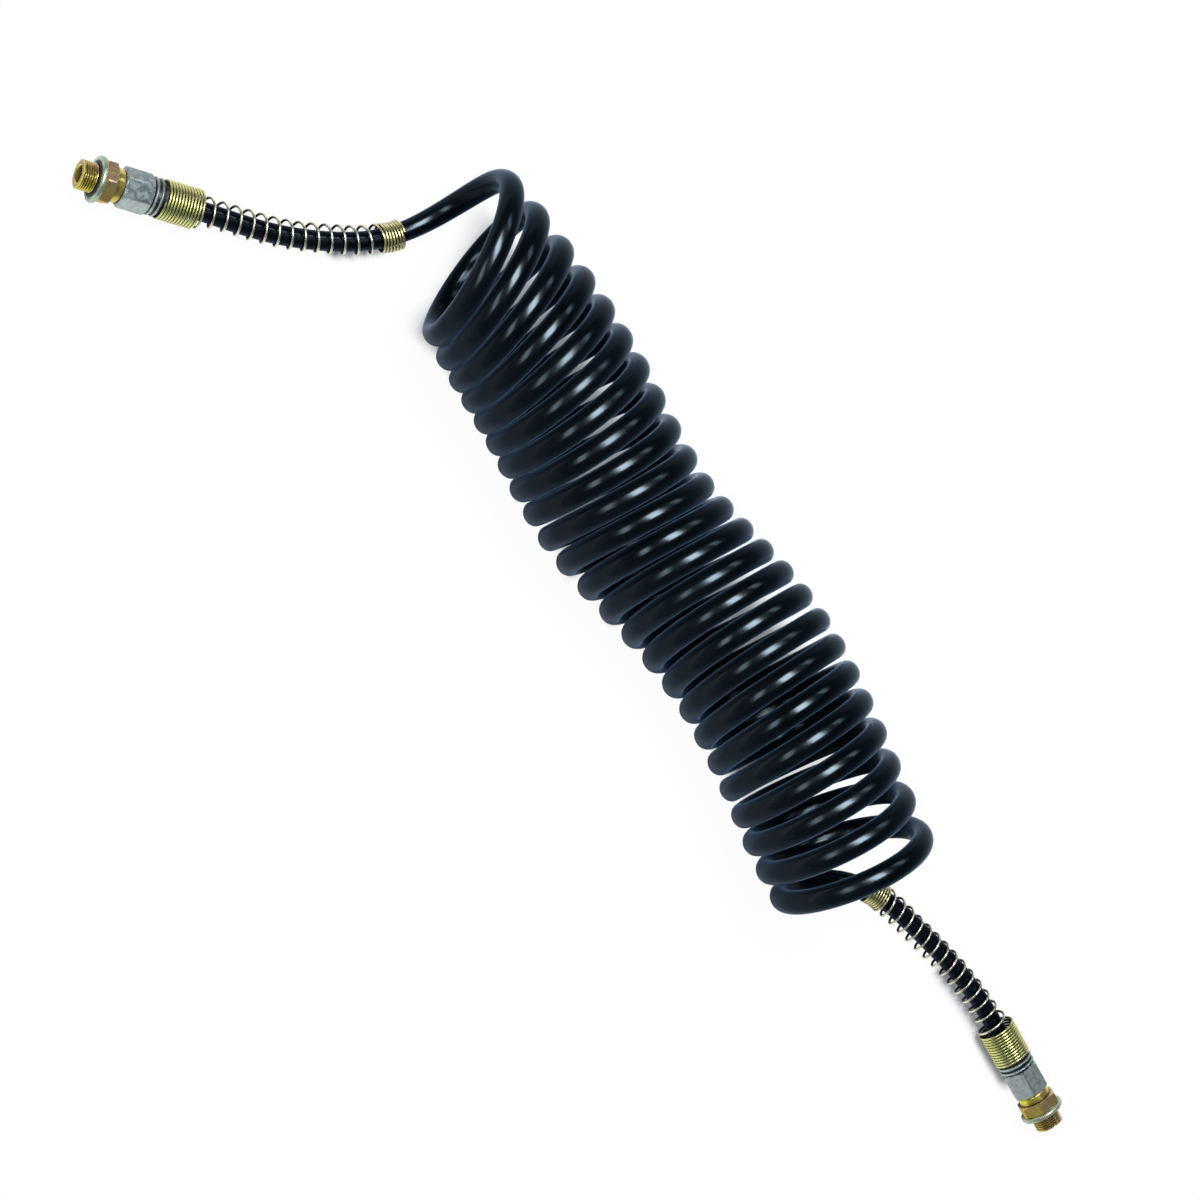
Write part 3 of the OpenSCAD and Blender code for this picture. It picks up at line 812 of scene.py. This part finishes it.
studio = {
    "floorSize": 30,  # m
    "floor": [(0.3, (0.94, 0.9, 0.88)), (0.7, (0.9306, 0.891, 0.8712))],
    "floorPatches": 0.4,  # scale of the floor's faint patches
    "floorRough": 0.9,
    "floorShine": 0.1,  # specular level
    "plain": 0.97,  # share of plain white in the floor that the camera sees
    "under": 0.1,  # the same under the coil, where the floor keeps its deep shadow
    "beside": 0.1,  # the same beside the guards
    "mirroredPlain": 0.0,  # the same for what shiny surfaces see of the floor near the hose
    "patch": (500, 200, 5),  # mm: half length, half width and step of the floor's fine part
    "underTurns": (0.3, 1.6, 20, 21.5),  # turns between which the deep shadow lies
    "underSides": (-54, -42, 20, 34),  # mm from the coil's middle line between which it lies
    "underSlant": 25,  # mm that it lies further aside where the coil runs along (1, -1)
    "underWider": 1.7,  # times that for its far side
    "besideGuards": {"a": (175, 196), "b": (38, 125)},  # mm from each stud's tip
    "guardShade": (6.5, 11.5),  # mm from the hose over which a guard's shadow fades
    "shadeShift": (1, -4, 0),  # mm from under the hose to the middle of that shadow
    "mirrored": (40, 90),  # mm from the hose over which shiny surfaces go back to plain white
    "tails": 300,  # mm of tail, from each stud's tip, that is near the floor
    "rings": (60, 12),  # the hose's rings left out at each end, and steps between the others
    "sky": [(0, (0.36, 0.44, 0.52)), (0.4, (0.08, 0.10, 0.12)), (1, (0.025, 0.032, 0.04))],  # horizon up
    "brightSide": (0.7, -0.7, 0),  # direction from which the sky is brightest
    "darkSide": 0.25,  # share of that light from the other side
    "lamps": [  # direction from the hose, distance m, size m, power W, colour
        ((-0.283, 0.138, 0.949), 6, (3.9, 2.0), 420, (0.9, 0.96, 1.0)),
        ((-0.345, -0.55, 0.755), 5, (3.0, 1.1), 44, (0.9, 0.96, 1.0)),
        ((-0.25, 0.72, 0.65), 5, (2.4, 0.9), 36, (0.7, 0.85, 1.0)),
    ],
}


# Goes from 0 to 1 between start and end, which may stand either way round
def fade(x, start, end):
    return easeIn((x - start) / (end - start))


# How deep the shadow under the coil is kept at a point of the floor, as seen through its turns
def underCoil(x, y, s):
    rows = coil["rows"]
    best = min(range(len(rows) - 1), key=lambda i: math.dist((x, y), rows[i][:2]))
    along = pointing(rows[best][2], 0)
    off = Vector((x - rows[best][0], y - rows[best][1], 0))
    turn = coil["rowTurns"] * (best + off.dot(along) / math.dist(rows[best][:2], rows[best + 1][:2]))
    side = along.x * off.y - along.y * off.x
    slant = s["underSlant"] * (along.x - along.y) * math.sqrt(0.5)
    wider = s["underWider"] * slant
    first, whole, lessening, last = s["underTurns"]
    right, inRight, inLeft, left = s["underSides"]
    return (fade(turn, first, whole) * fade(turn, last, lessening)
            * fade(side, slant + right, slant + inRight) * fade(side, wider + left, wider + inLeft))


def nearest(x, y, line):
    return min(math.hypot(x - p.x, y - p.y) for p in line)


# The points of a tail between two distances from its stud's tip
def tailPart(key, start, end):
    line = evenly(tailLine(key), hose["step"])
    return [p for p, s in zip(line, runningLength(line)) if start <= s <= end]


# A fine patch in a wide square, whose points carry the shares of the floor's own shading
def floorMesh(s):
    length, width, step = s["patch"]
    reach = round(s["floorSize"] / 2 / mm)
    xs = [-reach, *range(-length, length + 1, step), reach]
    ys = [-reach, *range(-width, width + 1, step), reach]
    points = [(x * mm, y * mm, 0) for y in ys for x in xs]
    faces = [(j * len(xs) + i, j * len(xs) + i + 1, (j + 1) * len(xs) + i + 1, (j + 1) * len(xs) + i)
             for j in range(len(ys) - 1) for i in range(len(xs) - 1)]
    mesh = bpy.data.meshes.new("floor")
    mesh.from_pydata(points, [], faces)
    shift = Vector(s["shadeShift"])
    guards = [p + shift for key, (a, b) in s["besideGuards"].items() for p in tailPart(key, a, b)]
    skip, every = s["rings"]
    everything = [p for key in endPieces for p in tailPart(key, 0, s["tails"])]
    everything += hosePath[skip:-skip:every]
    shares = {"coilShade": lambda x, y: underCoil(x, y, s),
              "guardShade": lambda x, y: fade(nearest(x, y, guards), *s["guardShade"][::-1]),
              "mirrored": lambda x, y: fade(nearest(x, y, everything), *s["mirrored"][::-1])}
    for name, share in shares.items():
        values = [share(x, y) for y in ys for x in xs]
        mesh.attributes.new(name, "FLOAT", "POINT").data.foreach_set("value", values)
    return mesh


# The camera and shiny surfaces see plain white, apart from where the shares keep the floor's shading
def floorMaterial(s):
    n = Nodes("floor")
    n.into("Base Color", n.ramp(n.noise(s["floorPatches"], detail=2), s["floor"]))
    n.fix("Roughness", s["floorRough"])
    n.fix("Specular IOR Level", s["floorShine"])
    coilPlain, guardPlain, mirrorPlain = (
        n.ramp(n.add("Attribute", attribute_name=name).outputs["Fac"], [(0, s["plain"]), (1, s[low])])
        for name, low in (("coilShade", "under"), ("guardShade", "beside"), ("mirrored", "mirroredPlain")))
    seen = n.add("LightPath").outputs
    byCamera = n.calc("MULTIPLY", seen["Is Camera Ray"], n.calc("MINIMUM", coilPlain, guardPlain))
    inShine = n.calc("MAXIMUM", seen["Is Glossy Ray"], seen["Is Transmission Ray"])
    share = n.calc("MAXIMUM", byCamera, n.calc("MULTIPLY", inShine, mirrorPlain))
    white = n.add("Emission", Strength=1.0).outputs[0]
    blend = n.add("MixShader", [(0, share), (1, n.shader.outputs[0]), (2, white)])
    n.tree.links.new(blend.outputs[0], n.tree.nodes["Material Output"].inputs[0])
    return n.material


def makeFloor(s):
    mesh = floorMesh(s)
    mesh.materials.append(floorMaterial(s))
    floor = bpy.data.objects.new("floor", mesh)
    scene.collection.objects.link(floor)


def makeWorld(s):
    world = bpy.data.worlds.new("studio")
    scene.world = world
    world.use_nodes = True
    tree = world.node_tree
    tree.nodes.clear()
    place, split, ramp, side, level, light, white, seen, blend, out = (
        tree.nodes.new("ShaderNode" + kind) for kind in (
            "TexCoord", "SeparateXYZ", "ValToRGB", "VectorMath", "MapRange", "Background", "Background",
            "LightPath", "MixShader", "OutputWorld"))
    setStops(ramp.color_ramp, s["sky"])
    side.operation = "DOT_PRODUCT"
    side.inputs[1].default_value = s["brightSide"]
    level.inputs["From Min"].default_value = -1
    level.inputs["To Min"].default_value = s["darkSide"]
    white.inputs["Color"].default_value = (1, 1, 1, 1)
    for a, b in ((place.outputs["Generated"], split.inputs[0]), (split.outputs["Z"], ramp.inputs[0]),
                 (ramp.outputs[0], light.inputs["Color"]), (place.outputs["Generated"], side.inputs[0]),
                 (side.outputs["Value"], level.inputs[0]), (level.outputs[0], light.inputs["Strength"]),
                 (seen.outputs["Is Camera Ray"], blend.inputs[0]), (light.outputs[0], blend.inputs[1]),
                 (white.outputs[0], blend.inputs[2]), (blend.outputs[0], out.inputs[0])):
        tree.links.new(a, b)


def makeLamps(s):
    middle = Vector(cameraView["target"]) * mm
    for i, (towards, distance, size, power, colour) in enumerate(s["lamps"]):
        data = bpy.data.lights.new(f"lamp{i}", "AREA")
        data.shape = "RECTANGLE"
        data.size, data.size_y = size
        data.energy = power
        data.color = colour
        lamp = bpy.data.objects.new(f"lamp{i}", data)
        away = Vector(towards).normalized()
        wide = (Vector((1, 0, 0)) - away * away.x).normalized()
        lamp.matrix_world = standing(middle + away * distance, wide, away.cross(wide), away)
        scene.collection.objects.link(lamp)


makeFloor(studio)
makeWorld(studio)
makeLamps(studio)
scene.view_settings.view_transform = "Standard"
print("studio lit")
